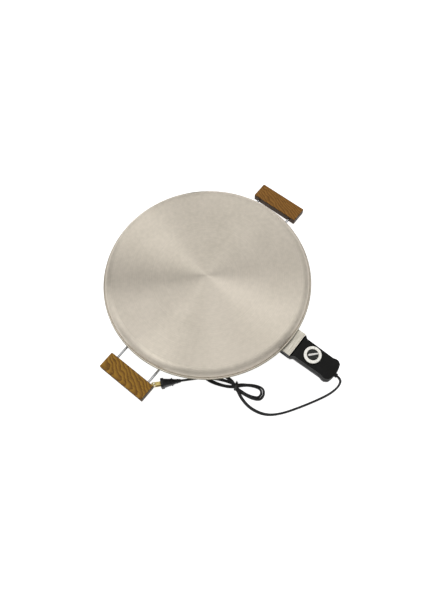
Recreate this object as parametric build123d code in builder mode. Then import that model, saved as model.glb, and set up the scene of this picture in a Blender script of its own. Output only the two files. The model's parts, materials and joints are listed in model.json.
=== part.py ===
"""Round electric griddle with a pull-out probe control, wooden side grips and a tied-up mains lead.

Millimetres. The origin is the centre of the cooking surface, with +Z up. The two grips lie along X and
the probe control leaves along -Y.
"""
import os
from math import cos, pi, radians, sin, sqrt, tan

from build123d import *

os.makedirs("parts", exist_ok=True)

# ---- driving dimensions -------------------------------------------------------------------------
table_z = -76.0              # the surface that the griddle stands on

plate_radius = 202.8         # over the rolled bead, 16 in across
plate_thickness = 4.0
shoulder_width = 17.0
shoulder_depth = 13.5
bead_radius = 2.0
bead_z = -14.5
skirt_z = -16.8
wall_radius = plate_radius - 3.5
flat_radius = wall_radius - shoulder_width
notch_angle = 45.8           # pouring notch in the shoulder
notch_depth = 9.0
notch_curve = 60.0
notch_floor_z = -9.0

pan_radius = 182.0
pan_sheet = 1.0
pan_top_z = -4.2
pan_bottom_z = -54.0
pan_corner = 8.0
pan_screw_circle = 60.0
pan_screw_radius = 2.0
boss_bottom_z = -12.15

foot_circle = 145.0
foot_angles = (55, 125, 235, 305)
foot_radius = 11.0
pad_height = 3.0

grip_inner = 223.8           # from the centre to the grip's inner side
grip_depth = 34.6
grip_length = 104.4
grip_height = 16.0
grip_top_z = -36.3
grip_z = grip_top_z - grip_height / 2
grip_x = grip_inner + grip_depth / 2
rod_radius = 2.5
rod_offset = 38.9            # each rod, from the grip's middle
rod_end = 240.0
rod_start = 167.0

element_radius = 4.0
element_z = -plate_thickness - element_radius - 0.1
ring_radius = 125.0
clamp_angles = (20, 90, 160, 210, 330)
clamp_screw_circle = 112.0

control_z = -33.0            # the pins, the probe and the parting line of the control
pin_spacing = 26.0
pin_radius = 2.4
pin_tip_y = -213.0
probe_radius = 3.95
probe_tip_y = -122.0
guard_half_width = 26.5
guard_outer_y = -217.3
guard_top_z = -21.9
guard_bottom_z = -43.5
cover_sheet = 1.2
mouth_half_width = 19.5
mouth_half_height = 8.2

control_top_z = -22.0
control_bottom_z = -44.0
control_front_y = -217.6
control_end_y = -304.0
shell_wall = 2.2
nose_half_width = 18.0
nose_half_height = 7.2
nose_front_y = -197.5
nose_back_y = -226.0
dial_y = -250.3
dial_boss_radius = 16.9
dial_boss_top_z = -18.6
dial_ring_radius = 16.4
dial_cap_radius = 10.4
dial_ring_top_z = -16.4
dial_cap_top_z = -15.2
dial_bar_top_z = -13.7
dial_rest_angle = 137.5      # the pointer's direction, from +X
shaft_radius = 3.0

cord_radius = 3.0
cord_exit = (-1.0, -308.0, control_z)
hank_top_z = -67.0
tie_centre = (-123.5, -168.0)
tie_angle = 113.0            # along the bunch of strands

plug_axis_angle = 137.5      # the way the blades point
plug_relief = (-181.0, -80.0, -63.5)
plug_length = 38.0
plug_face_width = 18.5
plug_face_height = 25.0
blade_spacing = 12.7
blade_width = 6.35
blade_thickness = 1.5
blade_length = 17.5


def polar(radius, angle):
    """A point of the XY plane at a radius and an angle in degrees."""
    return (radius * cos(radians(angle)), radius * sin(radians(angle)))


def bend_radii(points):
    """One radius for each corner of a route: 0.45 of the shorter run over the tangent of half the turn."""
    radii = []
    for before, corner, after in zip(points, points[1:], points[2:]):
        first = Vector(*corner) - Vector(*before)
        second = Vector(*after) - Vector(*corner)
        turn = radians(first.get_angle(second))
        radii.append(0.45 * min(first.length, second.length) / tan(turn / 2))
    return radii


# ---- the cooking plate --------------------------------------------------------------------------
with BuildPart() as griddle_plate:
    with BuildSketch(Plane.XZ):
        with BuildLine():
            Polyline(
                (wall_radius, -shoulder_depth),
                (wall_radius, skirt_z),
                (wall_radius - plate_thickness, skirt_z),
                (wall_radius - plate_thickness, -shoulder_depth),
            )
            EllipticalCenterArc(
                (flat_radius, -shoulder_depth),
                shoulder_width - plate_thickness,
                shoulder_depth - plate_thickness,
                start_angle=0,
                arc_size=90,
            )
            Polyline((flat_radius, -plate_thickness), (0, -plate_thickness), (0, 0), (flat_radius, 0))
            EllipticalCenterArc(
                (flat_radius, -shoulder_depth), shoulder_width, shoulder_depth, start_angle=0, arc_size=90
            )
        make_face()
        with Locations((plate_radius - bead_radius, bead_z)):
            Circle(bead_radius)
    revolve(axis=Axis.Z)
    # bosses for the pan screws and the element clamps
    with BuildSketch(Plane.XY.offset(boss_bottom_z)):
        with PolarLocations(pan_screw_circle, 4, start_angle=45):
            Circle(6)
        with Locations(*[polar(clamp_screw_circle, angle) for angle in clamp_angles]):
            Circle(5)
    extrude(amount=-boss_bottom_z - plate_thickness + 0.5)
    with BuildSketch(Plane.XY.offset(boss_bottom_z)):
        with PolarLocations(pan_screw_circle, 4, start_angle=45):
            Circle(pan_screw_radius + 0.05)
        with Locations(*[polar(clamp_screw_circle, angle) for angle in clamp_angles]):
            Circle(1.55)
    extrude(amount=8, mode=Mode.SUBTRACT)
    # the shallow pouring notch steps the shoulder down behind the bead
    with BuildSketch(Plane.XY.offset(notch_floor_z)):
        with Locations(polar(plate_radius + notch_curve - notch_depth, notch_angle)):
            Circle(notch_curve)
    extrude(amount=-notch_floor_z + 1, mode=Mode.SUBTRACT)
griddle_plate.part.label = "griddle_plate"
export_step(griddle_plate.part, "parts/griddle_plate.step")

# ---- the base pan and what holds it -------------------------------------------------------------
with BuildPart() as base_pan:
    with BuildSketch(Plane.XZ):
        with BuildLine():
            corner_z = pan_bottom_z + pan_corner
            corner_x = pan_radius - pan_corner
            inner_corner = pan_corner - pan_sheet
            Line((pan_radius, pan_top_z), (pan_radius, corner_z))
            CenterArc((corner_x, corner_z), pan_corner, 0, -90)
            Polyline(
                (corner_x, pan_bottom_z),
                (0, pan_bottom_z),
                (0, pan_bottom_z + pan_sheet),
                (corner_x, pan_bottom_z + pan_sheet),
            )
            CenterArc((corner_x, corner_z), inner_corner, -90, 90)
            Polyline(
                (pan_radius - pan_sheet, corner_z),
                (pan_radius - pan_sheet, pan_top_z),
                (pan_radius, pan_top_z),
            )
        make_face()
    revolve(axis=Axis.Z)
    # holes for the rods, right through both sides
    with BuildSketch(Plane.YZ.offset(-pan_radius - 5)):
        with Locations((-rod_offset, grip_z), (rod_offset, grip_z)):
            Circle(rod_radius + 0.2)
    extrude(amount=2 * pan_radius + 10, mode=Mode.SUBTRACT)
    # the doorway behind the guard
    with Locations((0, -pan_radius + 5, control_z)):
        Box(2 * mouth_half_width, 30, 2 * mouth_half_height, mode=Mode.SUBTRACT)
    # floor holes: pan screws, foot screws and a ring of vents
    with BuildSketch(Plane.XY.offset(pan_bottom_z - 1)):
        with PolarLocations(pan_screw_circle, 4, start_angle=45):
            Circle(pan_screw_radius + 0.2)
        with Locations(*[polar(foot_circle, angle) for angle in foot_angles]):
            Circle(2.2)
        with PolarLocations(105, 12):
            SlotOverall(26, 5)
    extrude(amount=4, mode=Mode.SUBTRACT)
    # clearance holes for the guard's screws
    with BuildSketch(Plane.XZ.offset(pan_radius - 10)):
        with Locations((-23.2, control_z), (23.2, control_z)):
            Circle(1.7)
    extrude(amount=15, mode=Mode.SUBTRACT)
base_pan.part.label = "base_pan"
export_step(base_pan.part, "parts/base_pan.step")

with BuildPart() as pan_spacers:
    with BuildSketch(Plane.XY.offset(pan_bottom_z + pan_sheet + 0.05)):
        with PolarLocations(pan_screw_circle, 4, start_angle=45):
            Circle(4.5)
            Circle(pan_screw_radius + 0.3, mode=Mode.SUBTRACT)
    extrude(amount=boss_bottom_z - pan_bottom_z - pan_sheet - 0.1)
pan_spacers.part.label = "pan_spacers"
export_step(pan_spacers.part, "parts/pan_spacers.step")

with BuildPart() as pan_screws:
    with BuildSketch(Plane.XY.offset(pan_bottom_z - 0.05)):
        with PolarLocations(pan_screw_circle, 4, start_angle=45):
            Circle(pan_screw_radius)
    extrude(amount=-pan_bottom_z - 5.5)
    with BuildSketch(Plane.XY.offset(pan_bottom_z - 0.05)):
        with PolarLocations(pan_screw_circle, 4, start_angle=45):
            Circle(4)
    extrude(amount=-2.6)
    fillet(pan_screws.edges().group_by(Axis.Z)[0], 1.2)
    with BuildSketch(Plane.XY.offset(pan_bottom_z - 3)):
        with PolarLocations(pan_screw_circle, 4, start_angle=45):
            Rectangle(5.5, 1)
    extrude(amount=1.4, mode=Mode.SUBTRACT)
pan_screws.part.label = "pan_screws"
export_step(pan_screws.part, "parts/pan_screws.step")

# ---- feet ---------------------------------------------------------------------------------------
foot_points = [polar(foot_circle, angle) for angle in foot_angles]
foot_top_z = pan_bottom_z - 0.05
foot_bottom_z = table_z + pad_height + 0.05

with BuildPart() as feet:
    with BuildSketch(Plane.XY.offset(foot_top_z)):
        with Locations(*foot_points):
            Circle(foot_radius)
    extrude(amount=foot_bottom_z - foot_top_z, taper=4)
    # each foot is a cup: the screw's head sits up inside it
    with BuildSketch(Plane.XY.offset(foot_bottom_z)):
        with Locations(*foot_points):
            Circle(5.5)
    extrude(amount=12, mode=Mode.SUBTRACT)
    with BuildSketch(Plane.XY.offset(foot_bottom_z)):
        with Locations(*foot_points):
            Circle(2.2)
    extrude(amount=foot_top_z - foot_bottom_z, mode=Mode.SUBTRACT)
feet.part.label = "feet"
export_step(feet.part, "parts/feet.step")

with BuildPart() as foot_pads:
    with BuildSketch(Plane.XY.offset(table_z)):
        with Locations(*foot_points):
            Circle(8.8)
    extrude(amount=pad_height)
    fillet(foot_pads.edges().group_by(Axis.Z)[0], 0.8)
    with BuildSketch(Plane.XY.offset(table_z + pad_height)):
        with Locations(*foot_points):
            Circle(5.4)
    extrude(amount=3)
foot_pads.part.label = "foot_pads"
export_step(foot_pads.part, "parts/foot_pads.step")

with BuildPart() as foot_screws:
    head_z = foot_bottom_z + 12 - 0.1
    with BuildSketch(Plane.XY.offset(head_z - 2.4)):
        with Locations(*foot_points):
            Circle(4)
    extrude(amount=2.4)
    with BuildSketch(Plane.XY.offset(head_z - 1)):
        with Locations(*foot_points):
            Circle(2)
    extrude(amount=pan_bottom_z + 8 - head_z)
foot_screws.part.label = "foot_screws"
export_step(foot_screws.part, "parts/foot_screws.step")

with BuildPart() as foot_nuts:
    with BuildSketch(Plane.XY.offset(pan_bottom_z + pan_sheet + 0.05)):
        with Locations(*foot_points):
            RegularPolygon(4, 6)
            Circle(2.05, mode=Mode.SUBTRACT)
    extrude(amount=3.2)
foot_nuts.part.label = "foot_nuts"
export_step(foot_nuts.part, "parts/foot_nuts.step")

# ---- wooden grips on plated rods ----------------------------------------------------------------
rod_points = [(-rod_offset, grip_z), (rod_offset, grip_z)]

with BuildPart() as near_grip:
    with Locations((-grip_x, 0, grip_z)):
        Box(grip_depth, grip_length, grip_height)
    fillet(near_grip.edges().filter_by(Axis.Z), 1.8)
    fillet(near_grip.edges().group_by(Axis.Z)[0] + near_grip.edges().group_by(Axis.Z)[-1], 1.4)
    with BuildSketch(Plane.YZ.offset(-rod_end - 0.3)):
        with Locations(*rod_points):
            Circle(rod_radius + 0.05)
    extrude(amount=20, mode=Mode.SUBTRACT)
near_grip.part.label = "near_grip"
export_step(near_grip.part, "parts/near_grip.step")

with BuildPart() as far_grip:
    add(near_grip.part.mirror(Plane.YZ))
far_grip.part.label = "far_grip"
export_step(far_grip.part, "parts/far_grip.step")

with BuildPart() as near_rods:
    with BuildSketch(Plane.YZ.offset(-rod_end)):
        with Locations(*rod_points):
            Circle(rod_radius)
    extrude(amount=rod_end - rod_start)
near_rods.part.label = "near_rods"
export_step(near_rods.part, "parts/near_rods.step")

with BuildPart() as far_rods:
    add(near_rods.part.mirror(Plane.YZ))
far_rods.part.label = "far_rods"
export_step(far_rods.part, "parts/far_rods.step")

# a nut outside and a nut inside the pan's wall on each rod, clear of its curve
inner_wall_x = sqrt((pan_radius - pan_sheet) ** 2 - (rod_offset + 4) ** 2)
outer_nut_x = sqrt(pan_radius**2 - (rod_offset - 4) ** 2) + 0.1
with BuildPart() as rod_nuts:
    with BuildSketch(Plane.YZ.offset(outer_nut_x)):
        with Locations(*rod_points):
            RegularPolygon(4.4, 6)
            Circle(rod_radius + 0.05, mode=Mode.SUBTRACT)
    extrude(amount=3.5)
    with BuildSketch(Plane.YZ.offset(inner_wall_x - 0.1)):
        with Locations(*rod_points):
            RegularPolygon(4.4, 6)
            Circle(rod_radius + 0.05, mode=Mode.SUBTRACT)
    extrude(amount=-3.5)
    mirror(about=Plane.YZ)
rod_nuts.part.label = "rod_nuts"
export_step(rod_nuts.part, "parts/rod_nuts.step")

# ---- heating element, its clamps and the probe well ---------------------------------------------
gap_angle = 15
corner_radius = ring_radius / cos(radians(gap_angle))
ring_corners = [polar(corner_radius, angle) for angle in range(-90 + 30, 270 - 29, 30)]
pin_x = pin_spacing / 2
lead_in = [
    (pin_x, -184.0, control_z),
    (pin_x, -164.0, control_z),
    (pin_x, -146.0, element_z),
    (pin_x, -124.0, element_z),
]
element_route = lead_in + [(x, y, element_z) for x, y in ring_corners]
element_route += [(-x, y, z) for x, y, z in reversed(lead_in)]

with BuildPart() as heating_element:
    with BuildLine() as element_path:
        FilletPolyline(*element_route, radius=[min(r, 100) for r in bend_radii(element_route)])
    with BuildSketch(Plane(origin=element_route[0], z_dir=(0, 1, 0))):
        Circle(element_radius)
    sweep(path=element_path.line)
heating_element.part.label = "heating_element"
export_step(heating_element.part, "parts/heating_element.step")

with BuildPart() as element_clamps:
    for angle in clamp_angles:
        strap_plane = Plane.XY.offset(boss_bottom_z - 0.05).rotated((0, 0, angle))
        with BuildSketch(strap_plane):
            with Locations((ring_radius - 6, 0)):
                RectangleRounded(30, 14, 3)
            with Locations((clamp_screw_circle, 0)):
                Circle(1.7, mode=Mode.SUBTRACT)
        extrude(amount=-1.5)
element_clamps.part.label = "element_clamps"
export_step(element_clamps.part, "parts/element_clamps.step")

with BuildPart() as clamp_screws:
    with BuildSketch(Plane.XY.offset(boss_bottom_z - 1.6)):
        with Locations(*[polar(clamp_screw_circle, angle) for angle in clamp_angles]):
            Circle(3)
    extrude(amount=-2)
    with BuildSketch(Plane.XY.offset(boss_bottom_z - 2)):
        with Locations(*[polar(clamp_screw_circle, angle) for angle in clamp_angles]):
            Circle(1.5)
    extrude(amount=8)
clamp_screws.part.label = "clamp_screws"
export_step(clamp_screws.part, "parts/clamp_screws.step")

with BuildPart() as probe_well:
    with BuildSketch(Plane.XZ.offset(112)):
        with Locations((0, control_z)):
            Circle(6)
        with Locations((0, (control_z + boss_bottom_z + 2) / 2)):
            Rectangle(5, boss_bottom_z + 2 - control_z)
        with Locations((0, boss_bottom_z + 2)):
            Rectangle(13, 3)
    extrude(amount=56)
    with BuildSketch(Plane.XZ.offset(118)):
        with Locations((0, control_z)):
            Circle(probe_radius + 0.08)
    extrude(amount=60, mode=Mode.SUBTRACT)
    # two pillars carry the well's flange up to the plate
    with BuildSketch(Plane.XY.offset(boss_bottom_z + 3)):
        with Locations((0, -118), (0, -158)):
            Circle(4)
    extrude(amount=-plate_thickness - 0.05 - boss_bottom_z - 3)
probe_well.part.label = "probe_well"
export_step(probe_well.part, "parts/probe_well.step")

with BuildPart() as terminal_pins:
    with BuildSketch(Plane.XZ.offset(184.05)):
        with Locations((-pin_x, control_z), (pin_x, control_z)):
            Circle(pin_radius)
    extrude(amount=-pin_tip_y - 184.05)
    chamfer(terminal_pins.edges().group_by(Axis.Y)[0], 0.8)
terminal_pins.part.label = "terminal_pins"
export_step(terminal_pins.part, "parts/terminal_pins.step")

with BuildPart() as pin_insulators:
    with BuildSketch(Plane.XZ.offset(184.1)):
        with Locations((-pin_x, control_z), (pin_x, control_z)):
            Circle(4.6)
            Circle(pin_radius + 0.05, mode=Mode.SUBTRACT)
    extrude(amount=7)
pin_insulators.part.label = "pin_insulators"
export_step(pin_insulators.part, "parts/pin_insulators.step")

# ---- the guard round the pins -------------------------------------------------------------------
guard_height = guard_top_z - cover_sheet - 0.05 - guard_bottom_z
guard_depth = -guard_outer_y - 172

with BuildPart() as guard_housing:
    with Locations((0, guard_outer_y + guard_depth / 2, guard_bottom_z + guard_height / 2)):
        Box(2 * guard_half_width, guard_depth, guard_height)
    fillet(guard_housing.edges().filter_by(Axis.Y).group_by(Axis.Z)[0], 2.5)
    with Locations((0, guard_outer_y + guard_depth / 2, control_z)):
        Box(2 * mouth_half_width, guard_depth + 2, 2 * mouth_half_height, mode=Mode.SUBTRACT)
    with BuildSketch(Plane.XY.offset(guard_bottom_z - 1)):
        Circle(pan_radius + 0.05)
    extrude(amount=guard_height + 2, mode=Mode.SUBTRACT)
    # a groove round the sides, with the screw holes behind it
    groove_y = guard_outer_y + 12
    with Locations((-guard_half_width, groove_y, control_z), (guard_half_width, groove_y, control_z)):
        Box(1.6, 10, 10, mode=Mode.SUBTRACT)
    with BuildSketch(Plane.XZ.offset(176)):
        with Locations((-23.2, control_z), (23.2, control_z)):
            Circle(1.45)
    extrude(amount=20, mode=Mode.SUBTRACT)
    with BuildSketch(Plane.XY.offset(guard_top_z)):
        with Locations((-22.8, -191), (22.8, -191)):
            Circle(1.25)
    extrude(amount=-8, mode=Mode.SUBTRACT)
guard_housing.part.label = "guard_housing"
export_step(guard_housing.part, "parts/guard_housing.step")

with BuildPart() as guard_cover:
    with BuildSketch(Plane.XY.offset(guard_top_z)):
        with Locations((0, (guard_outer_y - 184.5) / 2)):
            Rectangle(2 * guard_half_width, -guard_outer_y - 184.5)
        Circle(pan_radius + 0.3, mode=Mode.SUBTRACT)
        with Locations((-22.8, -191), (22.8, -191)):
            Circle(1.5, mode=Mode.SUBTRACT)
    extrude(amount=-cover_sheet)
    fillet(guard_cover.edges().filter_by(Axis.Z).group_by(Axis.Y)[0], 1.5)
guard_cover.part.label = "guard_cover"
export_step(guard_cover.part, "parts/guard_cover.step")

with BuildPart() as cover_screws:
    with BuildSketch(Plane.XY.offset(guard_top_z + 0.05)):
        with Locations((-22.8, -191), (22.8, -191)):
            Circle(2.6)
    extrude(amount=1.4)
    fillet(cover_screws.edges().group_by(Axis.Z)[-1], 0.7)
    with BuildSketch(Plane.XY.offset(guard_top_z + 0.3)):
        with Locations((-22.8, -191), (22.8, -191)):
            Circle(1.2)
    extrude(amount=-7.5)
cover_screws.part.label = "cover_screws"
export_step(cover_screws.part, "parts/cover_screws.step")

with BuildPart() as guard_screws:
    with BuildSketch(Plane.XZ.offset(177.5)):
        with Locations((-23.2, control_z), (23.2, control_z)):
            Circle(1.4)
    extrude(amount=16)
    with BuildSketch(Plane.XZ.offset(178.9)):
        with Locations((-23.2, control_z), (23.2, control_z)):
            Circle(2.8)
    extrude(amount=-2)
guard_screws.part.label = "guard_screws"
export_step(guard_screws.part, "parts/guard_screws.step")

# ---- the probe control's housing ----------------------------------------------------------------
housing_outline = [
    (26.5, control_front_y),
    (26.5, control_front_y - 1.8),
    (22.0, -224.5),
    (22.0, -232.0),
    (21.0, -283.0),
    (22.8, -288.5),
    (22.8, -294.0),
    (18.5, -300.5),
]
screw_posts = [(x, y) for x in (-15.5, 15.5) for y in (-233.0, -289.0)]

with BuildSketch() as housing_sketch:
    with BuildLine():
        left_side = [(-x, y) for x, y in housing_outline]
        Polyline(*left_side)
        ThreePointArc(left_side[-1], (0, control_end_y), housing_outline[-1])
        Polyline(*reversed(housing_outline), left_side[0])
    make_face()
    fillet(housing_sketch.vertices().filter_by(lambda vertex: vertex.Y < control_front_y - 1), 1.5)

with BuildSketch() as hollow_sketch:
    add(housing_sketch.sketch)
    offset(amount=-shell_wall, kind=Kind.INTERSECTION, mode=Mode.REPLACE)

shell_height = control_top_z - control_z - 0.02
door_y = (control_front_y + nose_back_y) / 2 + 2
door_size = (2 * nose_half_width + 0.2, control_front_y - nose_back_y + 6, 2 * nose_half_height + 0.2)
with BuildPart() as control_top_shell:
    with BuildSketch(Plane.XY.offset(control_z + 0.02)):
        add(housing_sketch.sketch)
    extrude(amount=shell_height, taper=5)
    with BuildSketch(Plane.XY.offset(control_z + 0.02)):
        add(hollow_sketch.sketch)
    extrude(amount=shell_height - 2.4, taper=5, mode=Mode.SUBTRACT)
    with BuildSketch(Plane.XY.offset(control_z + 0.02)):
        with Locations(*screw_posts):
            Circle(3)
    extrude(amount=shell_height - 1)
    with BuildSketch(Plane.XY.offset(control_z + 0.02)):
        with Locations(*screw_posts):
            Circle(1.25)
    extrude(amount=shell_height - 3, mode=Mode.SUBTRACT)
    # a round boss lifts the dial's ring
    with BuildSketch(Plane.XY.offset(control_top_z - 0.5)):
        with Locations((0, dial_y)):
            Circle(dial_boss_radius)
            Circle(dial_cap_radius + 0.35, mode=Mode.SUBTRACT)
    extrude(amount=dial_boss_top_z - control_top_z + 0.5)
    # shaft hole, the terminal block's doorway and the lead's way out
    with Locations((0, dial_y, control_top_z - 1)):
        Cylinder(shaft_radius + 0.35, 8, mode=Mode.SUBTRACT)
    with Locations((0, door_y, control_z)):
        Box(*door_size, mode=Mode.SUBTRACT)
    with BuildSketch(Plane.XZ.offset(-control_end_y - 10)):
        with Locations((cord_exit[0], control_z)):
            Circle(5.2)
    extrude(amount=12, mode=Mode.SUBTRACT)
control_top_shell.part.label = "control_top_shell"
export_step(control_top_shell.part, "parts/control_top_shell.step")

with BuildPart() as control_bottom_shell:
    with BuildSketch(Plane.XY.offset(control_z - 0.02)):
        add(housing_sketch.sketch)
    extrude(amount=-shell_height, taper=2)
    with BuildSketch(Plane.XY.offset(control_z - 0.02)):
        add(hollow_sketch.sketch)
    extrude(amount=-shell_height + 2.4, taper=2, mode=Mode.SUBTRACT)
    with BuildSketch(Plane.XY.offset(control_z - 0.02)):
        with Locations(*screw_posts):
            Circle(3)
    extrude(amount=-shell_height + 1)
    with BuildSketch(Plane.XY.offset(control_z - 0.02)):
        with Locations(*screw_posts):
            Circle(1.5)
    extrude(amount=-shell_height - 1, mode=Mode.SUBTRACT)
    with BuildSketch(Plane.XY.offset(control_bottom_z)):
        with Locations(*screw_posts):
            Circle(2.6)
    extrude(amount=2, mode=Mode.SUBTRACT)
    with Locations((0, door_y, control_z)):
        Box(*door_size, mode=Mode.SUBTRACT)
    with BuildSketch(Plane.XZ.offset(-control_end_y - 10)):
        with Locations((cord_exit[0], control_z)):
            Circle(5.2)
    extrude(amount=12, mode=Mode.SUBTRACT)
control_bottom_shell.part.label = "control_bottom_shell"
export_step(control_bottom_shell.part, "parts/control_bottom_shell.step")

with BuildPart() as housing_screws:
    with BuildSketch(Plane.XY.offset(control_bottom_z + 0.3)):
        with Locations(*screw_posts):
            Circle(2.4)
    extrude(amount=1.6)
    with BuildSketch(Plane.XY.offset(control_bottom_z + 1.5)):
        with Locations(*screw_posts):
            Circle(1.2)
    extrude(amount=15)
housing_screws.part.label = "housing_screws"
export_step(housing_screws.part, "parts/housing_screws.step")

# ---- inside the control -------------------------------------------------------------------------
with BuildPart() as terminal_block:
    with Locations((0, (nose_front_y + nose_back_y) / 2, control_z)):
        Box(2 * nose_half_width, nose_front_y - nose_back_y, 2 * nose_half_height)
    fillet(terminal_block.edges().filter_by(Axis.Y), 1.5)
    with BuildSketch(Plane.XZ.offset(-nose_front_y - 1)):
        with Locations((-pin_x, control_z), (pin_x, control_z)):
            Circle(3.6)
        with Locations((0, control_z)):
            Circle(probe_radius + 0.05)
    extrude(amount=nose_front_y - nose_back_y + 2, mode=Mode.SUBTRACT)
terminal_block.part.label = "terminal_block"
export_step(terminal_block.part, "parts/terminal_block.step")

with BuildPart() as contact_sockets:
    with BuildSketch(Plane.XZ.offset(-nose_front_y + 1.5)):
        with Locations((-pin_x, control_z), (pin_x, control_z)):
            Circle(3.55)
            Circle(pin_radius + 0.06, mode=Mode.SUBTRACT)
    extrude(amount=26)
contact_sockets.part.label = "contact_sockets"
export_step(contact_sockets.part, "parts/contact_sockets.step")

with BuildPart() as probe_tube:
    with BuildSketch(Plane.XZ.offset(-probe_tip_y)):
        with Locations((0, control_z)):
            Circle(probe_radius)
    extrude(amount=232 + probe_tip_y)
    fillet(probe_tube.edges().group_by(Axis.Y)[-1], 3)
    with BuildSketch(Plane.XZ.offset(-probe_tip_y + 5)):
        with Locations((0, control_z)):
            Circle(3)
    extrude(amount=232 + probe_tip_y, mode=Mode.SUBTRACT)
probe_tube.part.label = "probe_tube"
export_step(probe_tube.part, "parts/probe_tube.step")

with BuildPart() as push_rod:
    with BuildSketch(Plane.XZ.offset(-probe_tip_y + 5.1)):
        with Locations((0, control_z)):
            Circle(1.5)
    extrude(amount=237 + probe_tip_y - 5.1)
push_rod.part.label = "push_rod"
export_step(push_rod.part, "parts/push_rod.step")

frame_top_z = control_bottom_z + 2.6 + 1.2
with BuildPart() as switch_frame:
    with BuildSketch(Plane.XY.offset(frame_top_z)):
        with Locations((0, -257)):
            Rectangle(26, 38)
    extrude(amount=-1.2)
    with Locations((0, -275.4, frame_top_z + 5.5)):
        Box(16, 1.2, 11)
    with Locations((-9, -238.6, frame_top_z + 3), (9, -238.6, frame_top_z + 3)):
        Box(5, 1.2, 6)
switch_frame.part.label = "switch_frame"
export_step(switch_frame.part, "parts/switch_frame.step")

with BuildPart() as leaf_springs:
    with Locations((0, -257, frame_top_z + 7.4), (0, -257, frame_top_z + 3.4)):
        Box(6, 34, 0.5)
leaf_springs.part.label = "leaf_springs"
export_step(leaf_springs.part, "parts/leaf_springs.step")

with BuildPart() as switch_contacts:
    with Locations((0, -243, frame_top_z + 6.3), (0, -243, frame_top_z + 4.5)):
        Cylinder(2, 1.5)
switch_contacts.part.label = "switch_contacts"
export_step(switch_contacts.part, "parts/switch_contacts.step")

# ---- the dial -----------------------------------------------------------------------------------
with BuildPart() as dial_ring:
    with BuildSketch(Plane.XY.offset(dial_boss_top_z + 0.05)):
        with Locations((0, dial_y)):
            Circle(dial_ring_radius)
            Circle(dial_cap_radius + 0.35, mode=Mode.SUBTRACT)
    extrude(amount=dial_ring_top_z - dial_boss_top_z - 0.05)
    fillet(dial_ring.edges().group_by(Axis.Z)[-1].sort_by(SortBy.LENGTH)[-1], 1.6)
dial_ring.part.label = "dial_ring"
export_step(dial_ring.part, "parts/dial_ring.step")

with BuildPart() as dial_knob:
    with BuildSketch(Plane.XY.offset(control_top_z + 0.35)):
        with Locations((0, dial_y)):
            Circle(dial_cap_radius)
    extrude(amount=dial_cap_top_z - control_top_z - 0.35)
    fillet(dial_knob.edges().group_by(Axis.Z)[-1], 0.8)
    with Locations((0, dial_y, control_top_z + 2)):
        Cylinder(shaft_radius + 0.03, 5, mode=Mode.SUBTRACT)
    pointer_way = (*polar(1, dial_rest_angle), 0)
    knob_top = Plane(origin=(0, dial_y, dial_cap_top_z), x_dir=pointer_way, z_dir=(0, 0, 1))
    with BuildSketch(knob_top):
        SlotOverall(18.8, 3.6)
    extrude(amount=-1.5, mode=Mode.SUBTRACT)
dial_knob.part.label = "dial_knob"
export_step(dial_knob.part, "parts/dial_knob.step")

with BuildPart() as dial_bar:
    with BuildSketch(knob_top.offset(-1.45)):
        SlotOverall(18.4, 3.2)
    extrude(amount=dial_bar_top_z - dial_cap_top_z + 1.45)
    fillet(dial_bar.edges().group_by(Axis.Z)[-1], 0.6)
dial_bar.part.label = "dial_bar"
export_step(dial_bar.part, "parts/dial_bar.step")

with BuildPart() as dial_shaft:
    with BuildSketch(Plane.XY.offset(frame_top_z + 8.2)):
        with Locations((0, dial_y)):
            Circle(shaft_radius)
    extrude(amount=control_top_z + 4.3 - frame_top_z - 8.2)
    with BuildSketch(Plane.XY.offset(control_top_z - 5.6)):
        with Locations((0, dial_y)):
            Circle(7)
    extrude(amount=2)
dial_shaft.part.label = "dial_shaft"
export_step(dial_shaft.part, "parts/dial_shaft.step")

# ---- the lead: strain relief, free lengths, tied hank and plug ----------------------------------
gland_plane = Plane(origin=cord_exit, x_dir=(1, 0, 0), z_dir=(0, -1, 0))
gland_length = 20.0
flange_back = -16.0
flange_thickness = 5.0
with BuildPart() as cord_gland:
    with BuildSketch(gland_plane.offset(-gland_length)):
        Circle(5.1)
    with BuildSketch(gland_plane):
        Circle(4.1)
    loft()
    with BuildSketch(gland_plane.offset(flange_back)):
        Circle(7)
    extrude(amount=flange_thickness)
cord_gland.part.label = "cord_gland"
export_step(cord_gland.part, "parts/cord_gland.step")

lead_route = [
    cord_exit,
    (-1.5, -315.5, -35.0),
    (-4.5, -319.5, -44.5),
    (-12.5, -320.3, -57.5),
    (-28.0, -315.0, -69.5),
    (-51.0, -303.0, -73.0),
    (-80.0, -286.5, -72.9),
    (-112.0, -266.0, -73.0),
    (-132.0, -245.0, -72.9),
    (-139.5, -218.0, -73.0),
    (-136.5, -193.0, -72.5),
    (-126.0, -172.0, -71.5),
]
plug_route = [
    plug_relief,
    (-168.5, -91.5, -65.5),
    (-152.0, -108.5, -62.0),
    (-136.0, -131.0, -61.5),
    (-126.0, -153.0, -63.5),
    (-123.0, -163.0, -68.0),
]

with BuildPart() as lead_cord:
    with BuildLine() as lead_path:
        FilletPolyline(*lead_route, radius=bend_radii(lead_route))
    with BuildSketch(Plane(origin=lead_route[0], z_dir=lead_path.line % 0)):
        Circle(cord_radius)
    sweep(path=lead_path.line)
lead_cord.part.label = "lead_cord"
export_step(lead_cord.part, "parts/lead_cord.step")

with BuildPart() as plug_cord:
    with BuildLine() as plug_path:
        FilletPolyline(*plug_route, radius=bend_radii(plug_route))
    with BuildSketch(Plane(origin=plug_route[0], z_dir=plug_path.line % 0)):
        Circle(cord_radius)
    sweep(path=plug_path.line)
plug_cord.part.label = "plug_cord"
export_step(plug_cord.part, "parts/plug_cord.step")

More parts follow.
